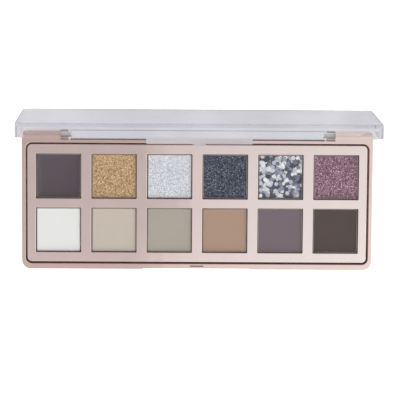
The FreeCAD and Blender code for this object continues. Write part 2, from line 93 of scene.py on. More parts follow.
# %% [markdown]
# ## Node helpers
#
# Every finish below is a small graph of shader nodes. It could be drawn by hand in the node
# editor. In a script, a few helpers keep it readable: they add a node and fill its sockets with
# values or links, start a material, make noise, and carry a value over to another range.

# %% Helpers for shader graphs
def add_node(tree, kind, inputs=None, **settings):
    """Adds a node; an input given as a socket is linked, any other value is set."""
    node = tree.nodes.new(kind)
    for name, value in settings.items():
        setattr(node, name, value)
    for name, value in (inputs or {}).items():
        if isinstance(value, bpy.types.NodeSocket):
            tree.links.new(value, node.inputs[name])
        else:
            node.inputs[name].default_value = value
    return node


def link(tree, output, target):
    """Joins one node's output to another node's input."""
    tree.links.new(output, target)


def start_material(name, **sockets):
    """A new material and its Principled shader, with the constant sockets set."""
    material = bpy.data.materials.new(name)
    material.use_nodes = True
    shader = material.node_tree.nodes["Principled BSDF"]
    for socket, value in sockets.items():
        shader.inputs[socket.replace("_", " ").title().replace("Ior", "IOR")].default_value = value
    return material, material.node_tree, shader


def object_place(tree):
    """The point on the piece in its own coordinates, so that a pattern moves with the piece."""
    return add_node(tree, "ShaderNodeTexCoord").outputs["Object"]


def noise(tree, place, scale, detail=2.0):
    """Soft random clouds about 0.5; a higher detail adds finer clouds."""
    sockets = {"Vector": place, "Scale": scale, "Detail": detail}
    return add_node(tree, "ShaderNodeTexNoise", sockets).outputs["Fac"]


def ramp(tree, value, ends, span=(0.0, 1.0), curve="LINEAR"):
    """Goes from the first of the ends to the second while value goes over the span."""
    sockets = {"Value": value, "From Min": span[0], "From Max": span[1], "To Min": ends[0], "To Max": ends[1]}
    return add_node(tree, "ShaderNodeMapRange", sockets, interpolation_type=curve).outputs["Result"]


def mix_shaders(tree, share, first, second):
    """The material's surface is the first shader where share is 0 and the second where it is 1."""
    both = add_node(tree, "ShaderNodeMixShader", {0: share, 1: first, 2: second})
    link(tree, both.outputs["Shader"], tree.nodes["Material Output"].inputs["Surface"])


# %% [markdown]
# ## The floor and the studio
#
# The picture is a cut-out on pure white. The camera sees a glowing white table, but the clear
# lid and the metal see it dimmed to a pale, slightly uneven lavender grey, or the lid would be
# white on white. A Light Path node tells the two apart. Above stands a soft dome. Lamps alone
# could light the palette, but polished metal mirrors its surroundings, so the whole dome
# matters. The world shader paints it from the direction: a dim ceiling left of a seam and a
# brighter one right of it, a horizon that is a little brighter in front, and one soft lamp from
# the front that gives the wells their shadows. The lamp isn't mirrored, so that the metal isn't
# burnt out when it is seen from behind.

# %% Make the light table
FLOOR_HALF_M = 4.0
FLOOR_GLOW = 0.62
FLOOR_ROUGHNESS = 0.9
FLOOR_TONES = (0.86, 0.9)
FLOOR_MOTTLE_SCALE = 40.0
WHITE = (1.0, 1.0, 1.0, 1.0)
TABLE_LIGHT = (0.665, 0.66, 0.70, 1.0)
TABLE_UNEVEN = (0.92, 1.08)
# Most values of a noise texture lie in this range.
NOISE_CORE = (0.3, 0.7)


def table_light():
    """White and glowing to the camera, dimmed and slightly uneven to every other ray."""
    material, tree, shader = start_material(
        "light_table", roughness=FLOOR_ROUGHNESS, emission_color=WHITE, emission_strength=FLOOR_GLOW
    )
    mottle = noise(tree, object_place(tree), FLOOR_MOTTLE_SCALE)
    link(tree, ramp(tree, mottle, FLOOR_TONES), shader.inputs["Base Color"])
    uneven = ramp(tree, mottle, TABLE_UNEVEN, NOISE_CORE)
    dimmed = add_node(tree, "ShaderNodeEmission", {"Color": TABLE_LIGHT, "Strength": uneven})
    seen = add_node(tree, "ShaderNodeLightPath").outputs["Is Camera Ray"]
    mix_shaders(tree, seen, dimmed.outputs["Emission"], shader.outputs["BSDF"])
    return material


def make_floor():
    """One square, level with the foot of the palette."""
    corners = np.array([(-1, -1, 0), (1, -1, 0), (1, 1, 0), (-1, 1, 0)]) * FLOOR_HALF_M
    mesh = bpy.data.meshes.new("light_table")
    mesh.from_pydata(corners.tolist(), [], [(0, 1, 2, 3)])
    mesh.materials.append(table_light())
    floor = bpy.data.objects.new("light_table", mesh)
    bpy.context.scene.collection.objects.link(floor)
    return floor


print("floor:", make_floor().name, "of", 2 * FLOOR_HALF_M, "m")

# %% Paint the ceiling
# A place on the dome is given by its unit direction: x to the right, y to the back and z up.
CEILING_LEFT = 0.612
CEILING_STEP = 0.182
CEILING_RISE = 1.9
CEILING_RISE_LIMIT = 0.45
CEILING_FRONT = 0.24
CEILING_FRONT_SPAN = (-0.27, -0.01)
SEAM_SWING = 0.008
SEAM_PERIOD = 0.0444
SEAM_SHIFT = 0.1157
SEAM_STEP_SPAN = (-0.002, 0.004)
SEAM_LINE = 0.003
SEAM_DEPTH = 0.22


def math_node(tree, operation, first, second=0.0):
    """One step of arithmetic on sockets or numbers."""
    return add_node(tree, "ShaderNodeMath", {0: first, 1: second}, operation=operation).outputs["Value"]


def smooth_ramp(tree, value, ends, span):
    """A ramp with a soft start and a soft end."""
    return ramp(tree, value, ends, span, "SMOOTHSTEP")


def paint_ceiling(tree, axes):
    """A step up at a seam that swings as a cosine, a rise to the right of it, a darker line along
    its left side, and the whole brighter towards the front."""
    across = axes.outputs["X"]
    turn = 2 * math.pi / SEAM_PERIOD
    phase = math_node(tree, "ADD", math_node(tree, "MULTIPLY", axes.outputs["Y"], turn), turn * SEAM_SHIFT)
    swing = math_node(tree, "MULTIPLY", math_node(tree, "COSINE", phase), SEAM_SWING)
    past_seam = math_node(tree, "ADD", across, swing)
    step = smooth_ramp(tree, past_seam, (CEILING_LEFT, CEILING_LEFT + CEILING_STEP), SEAM_STEP_SPAN)
    rise = math_node(tree, "MULTIPLY", across, CEILING_RISE)
    rise = add_node(tree, "ShaderNodeClamp", {"Value": rise, "Min": 0.0, "Max": CEILING_RISE_LIMIT})
    level = math_node(tree, "ADD", step, rise.outputs["Result"])
    off_line = math_node(tree, "ABSOLUTE", math_node(tree, "ADD", past_seam, SEAM_LINE))
    line = smooth_ramp(tree, off_line, (1 - SEAM_DEPTH, 1.0), (0.0, SEAM_LINE))
    level = math_node(tree, "MULTIPLY", level, line)
    front = smooth_ramp(tree, axes.outputs["Y"], (1 + CEILING_FRONT, 1 - CEILING_FRONT), CEILING_FRONT_SPAN)
    return math_node(tree, "MULTIPLY", level, front)


# %% Paint the horizon, the lamp and the whole dome
HORIZON_LEVEL = 0.70
HORIZON_FRONT = 0.3
HORIZON_SIDES = (0.85, 1.15)
HORIZON_SPAN = (-0.8, 0.8)
HORIZON_TO_CEILING = (0.45, 0.9)
LAMP_FROM = Vector((0.30, -0.72, 0.62)).normalized()
LAMP_CONE = (0.78, 0.97)
LAMP_LEVEL = 1.8
WARM_SIDE = (1.0, 0.965, 0.955, 1.0)
COOL_SIDE = (0.95, 1.0, 1.0, 1.0)
WARM_TO_COOL = (-0.02, 0.05)


def mix_values(tree, share, first, second):
    """Goes from the first value to the second while share goes from 0 to 1."""
    return add_node(tree, "ShaderNodeMix", {0: share, 2: first, 3: second}, data_type="FLOAT").outputs[0]


def mix_colours(tree, share, first, second):
    """Goes from the first colour to the second while share goes from 0 to 1."""
    return add_node(tree, "ShaderNodeMix", {0: share, 6: first, 7: second}, data_type="RGBA").outputs[2]


def paint_horizon(tree, axes):
    """Brighter to the right and to the front."""
    side = smooth_ramp(tree, axes.outputs["X"], HORIZON_SIDES, HORIZON_SPAN)
    ahead = smooth_ramp(tree, axes.outputs["Y"], (1 + HORIZON_FRONT, 1 - HORIZON_FRONT), HORIZON_SPAN)
    return math_node(tree, "MULTIPLY", math_node(tree, "MULTIPLY", side, ahead), HORIZON_LEVEL)


def paint_lamp(tree, direction):
    """A soft round patch about LAMP_FROM that reflections leave out."""
    facing = add_node(tree, "ShaderNodeVectorMath", {0: direction, 1: LAMP_FROM}, operation="DOT_PRODUCT")
    lamp = smooth_ramp(tree, facing.outputs["Value"], (0.0, LAMP_LEVEL), LAMP_CONE)
    mirrored = add_node(tree, "ShaderNodeLightPath").outputs["Is Glossy Ray"]
    return math_node(tree, "MULTIPLY", lamp, math_node(tree, "SUBTRACT", 1.0, mirrored))


def paint_dome():
    """Brightness by direction: the horizon passes into the ceiling with height, plus the lamp."""
    world = bpy.data.worlds.new("studio_dome")
    world.use_nodes = True
    bpy.context.scene.world = world
    tree = world.node_tree
    direction = add_node(tree, "ShaderNodeTexCoord").outputs["Generated"]
    axes = add_node(tree, "ShaderNodeSeparateXYZ", {"Vector": direction})
    height = smooth_ramp(tree, axes.outputs["Z"], (0.0, 1.0), HORIZON_TO_CEILING)
    dome = mix_values(tree, height, paint_horizon(tree, axes), paint_ceiling(tree, axes))
    background = tree.nodes["Background"]
    link(tree, math_node(tree, "ADD", dome, paint_lamp(tree, direction)), background.inputs["Strength"])
    to_right = smooth_ramp(tree, axes.outputs["X"], (0.0, 1.0), WARM_TO_COOL)
    link(tree, mix_colours(tree, to_right, WARM_SIDE, COOL_SIDE), background.inputs["Color"])
    return world


print(paint_dome().name, "painted; lamp from", [round(v, 2) for v in LAMP_FROM])

# %% [markdown]
# ## Metallised plastic
#
# Case and frame are moulded plastic with a thin metal film, so they mirror like metal but show
# the slow waves of a moulding. The waves could be modelled; they are about a hundredth of a
# millimetre deep, so a bump does it. One node group makes them for the case, the frame and the
# lid. A second group marks deep places, such as the wells, the hinge bay and the catch slot, by
# their depth within a rectangle, and a dull tint takes the metal's place there. The dark tints
# in the wells, the hinge bay and the catch slot are painted shade; the seat floor and the ledges
# get pale dull tints.

# %% Group: moulding ripple
WAVE_SCALE = 110.0
WAVE_STRETCH = (1.0, 0.3, 1.0)
PEEL_SCALE = 900.0
PEEL_SHARE = 0.004
CLOUD_SCALE = 140.0


def start_group(name, inputs, outputs):
    """A shader node group with float inputs (name: value) and typed outputs (name: type)."""
    group = bpy.data.node_groups.new(name, "ShaderNodeTree")
    for socket, value in inputs.items():
        made = group.interface.new_socket(name=socket, in_out="INPUT", socket_type="NodeSocketFloat")
        made.default_value = value
    for socket, kind in outputs.items():
        group.interface.new_socket(name=socket, in_out="OUTPUT", socket_type=kind)
    return group, group.nodes.new("NodeGroupInput"), group.nodes.new("NodeGroupOutput")


def make_moulding_ripple():
    """Slow waves plus a fine orange peel as a height, and a soft cloud for tint and gloss."""
    group, given, result = start_group(
        "moulding_ripple",
        {"Wave Scale": WAVE_SCALE},
        {"Height": "NodeSocketFloat", "Cloud": "NodeSocketFloat"},
    )
    place = object_place(group)
    drawn = add_node(group, "ShaderNodeVectorMath", {0: place, 1: WAVE_STRETCH}, operation="MULTIPLY")
    wave = noise(group, drawn.outputs[0], given.outputs["Wave Scale"], detail=1.0)
    peel = math_node(group, "MULTIPLY", noise(group, place, PEEL_SCALE), PEEL_SHARE)
    link(group, math_node(group, "ADD", wave, peel), result.inputs["Height"])
    link(group, noise(group, place, CLOUD_SCALE, detail=4.0), result.inputs["Cloud"])
    return group


MOULDING_RIPPLE = make_moulding_ripple()
print("group:", MOULDING_RIPPLE.name)

# %% Group: recess depth
USUAL_FADE = 0.5 * MM


def make_recess_depth():
    """1 on surfaces below a level, within a rectangle: the deep places where a dull tint, dark ones painted
    shade, takes the metal's place.
    """
    group, given, result = start_group(
        "recess_depth",
        {"Level": 0.0, "Fade": USUAL_FADE, "Half Width": 1.0, "Half Depth": 1.0, "Centre": 0.0},
        {"Recess": "NodeSocketFloat"},
    )
    axes = add_node(group, "ShaderNodeSeparateXYZ", {"Vector": object_place(group)})
    off_x = math_node(group, "ABSOLUTE", axes.outputs["X"])
    off_y = math_node(group, "SUBTRACT", axes.outputs["Y"], given.outputs["Centre"])
    off_y = math_node(group, "ABSOLUTE", off_y)
    within_x = math_node(group, "LESS_THAN", off_x, given.outputs["Half Width"])
    within_y = math_node(group, "LESS_THAN", off_y, given.outputs["Half Depth"])
    within = math_node(group, "MULTIPLY", within_x, within_y)
    sunk = math_node(group, "SUBTRACT", given.outputs["Level"], axes.outputs["Z"])
    sunk = math_node(group, "DIVIDE", sunk, given.outputs["Fade"])
    share = add_node(group, "ShaderNodeClamp", {"Value": sunk}).outputs["Result"]
    link(group, math_node(group, "MULTIPLY", within, share), result.inputs["Recess"])
    return group


RECESS_DEPTH = make_recess_depth()
print("group:", RECESS_DEPTH.name)

# %% Finish: metallised plastic
FILM_ROUGHNESS = (0.04, 0.075)
RECESS_ROUGHNESS = 0.55
WAVE_DEPTH = 0.02 * MM


def place_group(tree, group, **values):
    """Puts a node group into a material; value names use underscores for spaces."""
    node = tree.nodes.new("ShaderNodeGroup")
    node.node_tree = group
    for name, value in values.items():
        node.inputs[name.replace("_", " ").title()].default_value = value
    return node


def add_relief(tree, shader, height, depth):
    """Tilts the shader's normal as a relief of this depth would."""
    bump = add_node(tree, "ShaderNodeBump", {"Height": height, "Distance": depth})
    link(tree, bump.outputs["Normal"], shader.inputs["Normal"])


def metallised(name, dark_tint, light_tint, *places):
    """Mirror metal whose tint and gloss drift a little and whose surface waves gently.

    Each place is a dull tint, dark ones painted shade, and the level and rectangle below which it takes the
    metal's place."""
    material, tree, shader = start_material(name)
    ripple = place_group(tree, MOULDING_RIPPLE)
    colour = mix_colours(tree, ripple.outputs["Cloud"], dark_tint, light_tint)
    in_recess = 0.0
    for recess_tint, reach in places:
        here = place_group(tree, RECESS_DEPTH, **reach).outputs["Recess"]
        # The dull tint takes the metal's place in the recess; a dark one is painted shade.
        colour = mix_colours(tree, here, colour, recess_tint)
        in_recess = math_node(tree, "MAXIMUM", here, in_recess)
    link(tree, colour, shader.inputs["Base Color"])
    link(tree, math_node(tree, "SUBTRACT", 1.0, in_recess), shader.inputs["Metallic"])
    film = ramp(tree, ripple.outputs["Cloud"], FILM_ROUGHNESS)
    link(tree, mix_values(tree, in_recess, film, RECESS_ROUGHNESS), shader.inputs["Roughness"])
    add_relief(tree, shader, ripple.outputs["Height"], WAVE_DEPTH)
    return material


# %% Places where a dull tint or painted shade takes the metal's place
tray_low, tray_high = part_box("pan_tray")
case_low, case_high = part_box("base_shell")
tray_middle = (tray_high.y + tray_low.y) / 2
tray_half_depth = (tray_high.y - tray_low.y) / 2
WALL_REACH = 0.15 * MM
GROOVE = 0.7 * MM
SEAT_TINT_HEIGHT = 0.3 * MM
BAY_WIDTH = 118.4 * MM
BAY_DEPTH = 4.0 * MM
BAY_SHADE_DEPTH = 0.5 * MM
LEDGE_TINT_HEIGHT = 1.5 * MM
PIN_REACH = 4.4 * MM
SLOT_WIDTH = 5.8 * MM
SLOT_HALF_DEPTH = 0.4 * MM
SLOT_FROM_FRONT = 1.175 * MM
SLOT_SHADE_DEPTH = 2.3 * MM
WELL_SHADE_DEPTH = 0.25 * MM
FRAME_EDGE = 1.5 * MM

# The seat's floor, seen down the groove round the tray.
seat_floor = {
    "level": tray_low.z + SEAT_TINT_HEIGHT,
    "fade": 0.2 * MM,
    "half_width": tray_high.x + GROOVE + WALL_REACH,
    "half_depth": tray_half_depth + GROOVE + WALL_REACH,
    "centre": tray_middle,
}
# The front wall of the hinge bay, between the pins, which gets a painted shade.
hinge_bay = {
    "level": case_high.z - BAY_SHADE_DEPTH,
    "fade": 0.4 * MM,
    "half_width": BAY_WIDTH / 2 - PIN_REACH,
    "half_depth": WALL_REACH,
    "centre": case_high.y - BAY_DEPTH,
}
# The ledges at the ends of the bay, which stop the hinge leaf.
bay_ledge = {
    "level": case_low.z + LEDGE_TINT_HEIGHT,
    "fade": 0.1 * MM,
    "half_width": BAY_WIDTH / 2 - WALL_REACH,
    "half_depth": BAY_DEPTH / 2 - WALL_REACH,
    "centre": case_high.y - BAY_DEPTH / 2,
}
# The slot in the thumb notch, which takes the catch tongue and gets a painted shade.
catch_slot = {
    "level": case_high.z - SLOT_SHADE_DEPTH,
    "fade": 0.1 * MM,
    "half_width": SLOT_WIDTH / 2 + WALL_REACH / 2,
    "half_depth": SLOT_HALF_DEPTH,
    "centre": case_low.y + SLOT_FROM_FRONT,
}
# The walls of the wells, a little below the frame's face, which get a painted shade.
wells = {
    "level": tray_high.z - WELL_SHADE_DEPTH,
    "half_width": tray_high.x - FRAME_EDGE,
    "half_depth": tray_half_depth - FRAME_EDGE,
    "centre": tray_middle,
}
# The painted shade on the walls of the wells starts at this level.
print("film in the wells ends at mm", round(wells["level"] / MM, 2))

# %% Dress the case and the frame
ROSE_DARK = (0.82, 0.62, 0.57, 1.0)
ROSE_LIGHT = (0.89, 0.69, 0.64, 1.0)
SEAT_TINT = (0.95, 0.76, 0.70, 1.0)
LEDGE_TINT = (0.86, 0.82, 0.82, 1.0)
# Painted shade: the dark tints of the hinge bay and the catch slot.
BAY_SHADE = (0.27, 0.165, 0.135, 1.0)
SLOT_SHADE = (0.12, 0.07, 0.06, 1.0)
FRAME_DARK = (0.87, 0.72, 0.695, 1.0)
FRAME_LIGHT = (0.93, 0.77, 0.745, 1.0)
# Painted shade on the walls of the wells.
WELL_SHADE = (0.46, 0.34, 0.30, 1.0)


def dress(material, *names):
    """Gives CAD nodes one material in place of their plain one."""
    for name in names:
        mesh = nodes[name].data
        mesh.materials.clear()
        mesh.materials.append(material)
    print(material.name, "on", *names)


rose_case = metallised(
    "rose_case", ROSE_DARK, ROSE_LIGHT,
    (SEAT_TINT, seat_floor),
    (LEDGE_TINT, bay_ledge),
    (BAY_SHADE, hinge_bay),
    (SLOT_SHADE, catch_slot),
)
pale_frame = metallised("pale_frame", FRAME_DARK, FRAME_LIGHT, (WELL_SHADE, wells))
dress(rose_case, "base_shell")
dress(pale_frame, "pan_tray")

# %% [markdown]
# ## The clear lid
#
# The lid is one moulding of clear styrene: glassy, with a faint cool tint that shows where the
# eye looks along the sheet, and a frosted thumb tab. A plain see-through mix would be quicker.
# Transmission on the Principled shader is used, because it bends light at the edges as the real
# wall does, and an absorbing volume gives the tint. A shadow ray passes straight through, so
# that the case behind is lit as in a studio.

# %% Finish: clear styrene
lid_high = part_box("lid")[1]
LID_DEPTH = 6.0 * MM
RIM_GAP = 0.02 * MM
TAB_ZONE = 2.0 * MM
TAB_FROST = 0.4
TAB_TINT = (0.86, 0.86, 0.86, 1.0)
LID_TINT = (0.99, 0.99, 0.995, 1.0)
LID_WAVE_SCALE = 45.0
LID_HAZE = (0.01, 0.06)
STYRENE_IOR = 1.55
SMOKE_TINT = (0.55, 0.55, 0.66, 1.0)
SMOKE_DENSITY = 5.0
LIGHT_BOUNCES = 64


def thumb_tab(tree):
    """1 on the tab: in front of the lid's rim and near the top of the upright lid."""
    axes = add_node(tree, "ShaderNodeSeparateXYZ", {"Vector": object_place(tree)})
    before_rim = math_node(tree, "LESS_THAN", axes.outputs["Y"], lid_high.y - LID_DEPTH - RIM_GAP)
    near_top = math_node(tree, "GREATER_THAN", axes.outputs["Z"], lid_high.z - TAB_ZONE)
    return math_node(tree, "MULTIPLY", before_rim, near_top)


def clear_styrene():
    """Clear plastic that dims light by the length of its way inside, with a frosted thumb tab."""
    material, tree, shader = start_material("clear_styrene", transmission_weight=1.0, ior=STYRENE_IOR)
    ripple = place_group(tree, MOULDING_RIPPLE, wave_scale=LID_WAVE_SCALE)
    on_tab = thumb_tab(tree)
    link(tree, mix_colours(tree, on_tab, LID_TINT, TAB_TINT), shader.inputs["Base Color"])
    haze = ramp(tree, ripple.outputs["Cloud"], LID_HAZE)
    frost = math_node(tree, "MULTIPLY", on_tab, TAB_FROST)
    link(tree, math_node(tree, "ADD", haze, frost), shader.inputs["Roughness"])
    add_relief(tree, shader, ripple.outputs["Height"], WAVE_DEPTH)
    shadow_ray = add_node(tree, "ShaderNodeLightPath").outputs["Is Shadow Ray"]
    see_through = add_node(tree, "ShaderNodeBsdfTransparent", {"Color": LID_TINT})
    mix_shaders(tree, shadow_ray, shader.outputs["BSDF"], see_through.outputs["BSDF"])
    smoke = add_node(tree, "ShaderNodeVolumeAbsorption", {"Color": SMOKE_TINT, "Density": SMOKE_DENSITY})
    link(tree, smoke.outputs["Volume"], tree.nodes["Material Output"].inputs["Volume"])
    return material


dress(clear_styrene(), "lid")

# Light rattles about inside a clear wall before it leaves, so more bounces are followed.
cycles = bpy.context.scene.cycles
cycles.max_bounces = LIGHT_BOUNCES
cycles.glossy_bounces = LIGHT_BOUNCES
cycles.transmission_bounces = LIGHT_BOUNCES

# %% [markdown]
# ## Tin, steel and glue
#
# The pans are drawn tin with a satin face, kept dark: partly the tin's own dull tone, partly a
# painted shade for the narrow gap round each powder. The pins are steel wire with a bright, dull
# plating, and milky glue holds the pans and the tray. They could be left plain, since they
# hardly show, but a close view reaches them, so each gets a fine grain.

# %% Finish: tin, steel and glue
METAL_ROUGHNESS = (0.45, 0.6)
METAL_RELIEF = 0.004 * MM
# The tin's low tone is partly its own, partly painted shade for the gap round each powder.
TIN_DARK = (0.42, 0.37, 0.35, 1.0)
TIN_LIGHT = (0.56, 0.51, 0.49, 1.0)
TIN_GRAIN_SCALE = 1500.0
PIN_METALLIC = 0.2
PIN_DARK = (0.90, 0.89, 0.88, 1.0)
PIN_LIGHT = (0.97, 0.96, 0.95, 1.0)
PIN_GRAIN_SCALE = 2500.0
GLUE_DARK = (0.62, 0.58, 0.50, 1.0)
GLUE_LIGHT = (0.80, 0.77, 0.70, 1.0)
GLUE_CLOT_SCALE = 700.0
NOT_PANS = ("pan_tray", "pan_glue_dots")


def drawn_metal(name, metallic, dark, light, grain_scale):
    """Metal with a fine random grain in tone and gloss, as rolling and drawing leave it."""
    material, tree, shader = start_material(name, metallic=metallic)
    grain = noise(tree, object_place(tree), grain_scale, detail=5.0)
    link(tree, mix_colours(tree, grain, dark, light), shader.inputs["Base Color"])
    link(tree, ramp(tree, grain, METAL_ROUGHNESS), shader.inputs["Roughness"])
    add_relief(tree, shader, grain, METAL_RELIEF)
    return material


def milky_glue():
    """Set glue with pale clots, a little translucent."""
    material, tree, shader = start_material("milky_glue", roughness=0.4, subsurface_weight=0.2)
    clot = noise(tree, object_place(tree), GLUE_CLOT_SCALE, detail=3.0)
    link(tree, mix_colours(tree, clot, GLUE_DARK, GLUE_LIGHT), shader.inputs["Base Color"])
    return material


pans = [name for name in sorted(nodes) if name.startswith("pan_") and name not in NOT_PANS]
drawn_tin = drawn_metal("drawn_tin", 1.0, TIN_DARK, TIN_LIGHT, TIN_GRAIN_SCALE)
pin_steel = drawn_metal("pin_steel", PIN_METALLIC, PIN_DARK, PIN_LIGHT, PIN_GRAIN_SCALE)
dress(drawn_tin, *pans)
dress(pin_steel, "hinge_pin_left", "hinge_pin_right")
dress(milky_glue(), "pan_glue_dots", "tray_adhesive_strips")

# %% [markdown]
# ## Pressed cakes
#
# Each powder is pressed into its pan with a flat die that leaves a narrow brim and a fine
# grain. The cake is a height field on a square grid whose corner blocks are bent round, with a
# straight skirt to the pan floor. Sculpting would do one cake; a function of the plan does all.

# %% Plan of a cake
GRID_CROWD = 0.4
TINY = 1e-9


def grid_lines(half, count):
    """Lines from -half to half that crowd together near both ends: even steps mixed with a sine."""
    step = np.linspace(-1.0, 1.0, count)
    return half * ((1 - GRID_CROWD) * step + GRID_CROWD * np.sin(step * math.pi / 2))


def round_corners(x, y, half, radius):
    """Bends each corner block of a square grid into a quarter disc: a point (u, v) of the block is
    pulled in by the larger of u and v over the length of (u, v)."""
    inner = half - radius
    u = np.clip((np.abs(x) - inner) / radius, 0.0, 1.0)
    v = np.clip((np.abs(y) - inner) / radius, 0.0, 1.0)
    pull = np.maximum(u, v) / np.maximum(np.hypot(u, v), TINY)
    in_corner = (u > 0) & (v > 0)
    bent_x = np.where(in_corner, np.sign(x) * (inner + radius * u * pull), x)
    bent_y = np.where(in_corner, np.sign(y) * (inner + radius * v * pull), y)
    return bent_x, bent_y


def border_loop(index):
    """The outer edge of a square of grid indices, once round, anticlockwise."""
    return np.concatenate([index[0, :-1], index[:-1, -1], index[-1, :0:-1], index[:0:-1, 0]])


# %% Shape: a pressed cake
CAKE_CORNER = 0.27 * MM
CAKE_LIP = 0.14 * MM


def cake_mesh(name, low, high, height, count):
    """Top: height(x, y, edge) over the bent grid, edge being the distance in from the outline, with
    a quarter-round lip. Skirt: the outline carried straight down. Foot: one flat face."""
    half = (high.x - low.x) / 2
    centre = (low + high) / 2
    line = grid_lines(half, count)
    x, y = np.meshgrid(line, line)
    edge = half - np.maximum(np.abs(x), np.abs(y))
    x, y = round_corners(x, y, half, CAKE_CORNER)
    lip = np.clip(1 - edge / CAKE_LIP, 0.0, 1.0)
    z = high.z + height(x, y, edge) - CAKE_LIP * (1 - np.sqrt(1 - lip ** 2))
    top = np.stack([x + centre.x, y + centre.y, z], -1).reshape(-1, 3)
    index = np.arange(count * count).reshape(count, count)
    quads = np.stack([index[:-1, :-1], index[:-1, 1:], index[1:, 1:], index[1:, :-1]], -1).reshape(-1, 4)
    loop = border_loop(index)
    foot = top[loop] * (1, 1, 0) + (0, 0, low.z)
    lower = count * count + np.arange(len(loop))
    skirt = np.stack([loop, lower, np.roll(lower, -1), np.roll(loop, -1)], -1)
    faces = [*quads.tolist(), *skirt.tolist(), lower[::-1].tolist()]
    mesh = bpy.data.meshes.new(name)
    mesh.from_pydata(np.concatenate([top, foot]).tolist(), [], faces)
    mesh.polygons.foreach_set("use_smooth", np.arange(len(faces)) < len(quads))
    return mesh


# %% Heights: how each finish is pressed
BRIM_WIDTH = 1.3 * MM
BRIM_RISE = 0.08 * MM
DIE_DEPTH = 0.02 * MM
MATTE_SWELL = 0.004 * MM
MATTE_SWELL_LENGTHS = (5 * MM, 14 * MM)
MATTE_GRAIN = 0.001 * MM
MATTE_GRAIN_LENGTHS = (0.3 * MM, 0.8 * MM)
CREAM_BOWL = 0.30 * MM
CREAM_BOWL_REACH = 9.2 * MM
CREAM_CLIMB = 0.20 * MM
CREAM_CLIMB_WIDTH = 2.2 * MM
CREAM_SWELL = 0.003 * MM
CREAM_SWELL_LENGTHS = (6 * MM, 16 * MM)
GLITTER_GRAIN = 0.0015 * MM
GLITTER_GRAIN_LENGTHS = (0.26 * MM, 0.5 * MM)
BED_SWELL = 0.02 * MM
BED_SWELL_LENGTHS = (1.2 * MM, 4 * MM)
BED_DEPTH = 0.33 * MM


def ripples(x, y, lengths, seed, waves=70):
    """A random field of unit spread: many plane waves with random headings, lengths and phases."""
    shortest, longest = lengths
    draw = np.random.default_rng(seed)
    heading = draw.uniform(0, 2 * math.pi, waves)
    number = 2 * math.pi / np.exp(draw.uniform(math.log(shortest), math.log(longest), waves))
    phase = draw.uniform(0, 2 * math.pi, waves)
    turns = np.stack([number * np.cos(heading), number * np.sin(heading)])
    return np.cos(np.stack([x, y], -1) @ turns + phase).sum(-1) * math.sqrt(2.0 / waves)


def climb(edge, width, rise):
    """0 on the outline and rise lower from width inwards: rise times the squared nearness less 1."""
    near = np.clip(1 - edge / width, 0.0, 1.0)
    return rise * (near ** 2 - 1)


def matte_height(seed):
    """Flat die mark: slow swell, very fine grain, and a brim where powder creeps up the die."""
    def height(x, y, edge):
        swell = MATTE_SWELL * ripples(x, y, MATTE_SWELL_LENGTHS, seed, waves=20)
        grain = MATTE_GRAIN * ripples(x, y, MATTE_GRAIN_LENGTHS, seed + 1)
        return climb(edge, BRIM_WIDTH, BRIM_RISE) + swell + grain - DIE_DEPTH
    return height


def cream_height(seed):
    """A poured cream: a bowl that rises with x squared plus y squared, and a meniscus that climbs
    to the pan wall."""
    def height(x, y, edge):
        bowl = CREAM_BOWL * ((x ** 2 + y ** 2) / CREAM_BOWL_REACH ** 2 - 2)
        swell = CREAM_SWELL * ripples(x, y, CREAM_SWELL_LENGTHS, seed, waves=16)
        return bowl + climb(edge, CREAM_CLIMB_WIDTH, CREAM_CLIMB) + swell
    return height


def glitter_height(seed):
    """Coarse flakes pressed level: a lively grain inside the same brim."""
    def height(x, y, edge):
        grain = GLITTER_GRAIN * ripples(x, y, GLITTER_GRAIN_LENGTHS, seed)
        return climb(edge, BRIM_WIDTH, BRIM_RISE) + grain - DIE_DEPTH
    return height


def flake_bed_height(seed):
    """The dark bed under the confetti flakes, set lower to leave them room."""
    def height(x, y, edge):
        swell = BED_SWELL * ripples(x, y, BED_SWELL_LENGTHS, seed, waves=40)
        return climb(edge, BRIM_WIDTH, BRIM_RISE) + swell - BED_DEPTH
    return height


# %% [markdown]
# ## Powder finishes
#
# Matte powder scatters light like chalk, with a fine speckle of pigment and binder. The cream
# shade is smoother and has a soft gloss. Shimmer powders are beds of tiny flat flakes that lie
# at different tilts, so each mirrors another part of the studio. Such flakes are far too many
# to model. A Voronoi pattern splits the surface into them and gives each its own tone and tilt,
# and a few sparks among them are more metallic and painted paler as glints.

# %% Group: pigment speckle
SPECKLE_FINE_SCALE = 2600.0
SPECKLE_FINE_SHARE = 0.65
SPECKLE_SLOW_SCALE = 220.0
SPECKLE_SLOW_SHARE = 0.35


def make_pigment_speckle():
    """Two grains of noise as one speckle from 0 to 1, used for tone, gloss and bump."""
    group, given, result = start_group(
        "pigment_speckle",
        {"Grain Scale": SPECKLE_FINE_SCALE},
        {"Speckle": "NodeSocketFloat"},
    )
    place = object_place(group)
    fine = noise(group, place, given.outputs["Grain Scale"], detail=4.0)
    fine = math_node(group, "MULTIPLY", fine, SPECKLE_FINE_SHARE)
    slow = math_node(group, "MULTIPLY", noise(group, place, SPECKLE_SLOW_SCALE), SPECKLE_SLOW_SHARE)
    link(group, math_node(group, "ADD", fine, slow), result.inputs["Speckle"])
    return group


PIGMENT_SPECKLE = make_pigment_speckle()
print("group:", PIGMENT_SPECKLE.name)

# %% Group: flake glints
GLINT_SCALE = 5200.0
GLINT_TILT = 0.35
GLINT_MIDDLE = (0.5, 0.5, 0.5)
# Sparks: flakes that get a pale colour as a painted glint.
SPARK_SPAN = (0.86, 0.97)


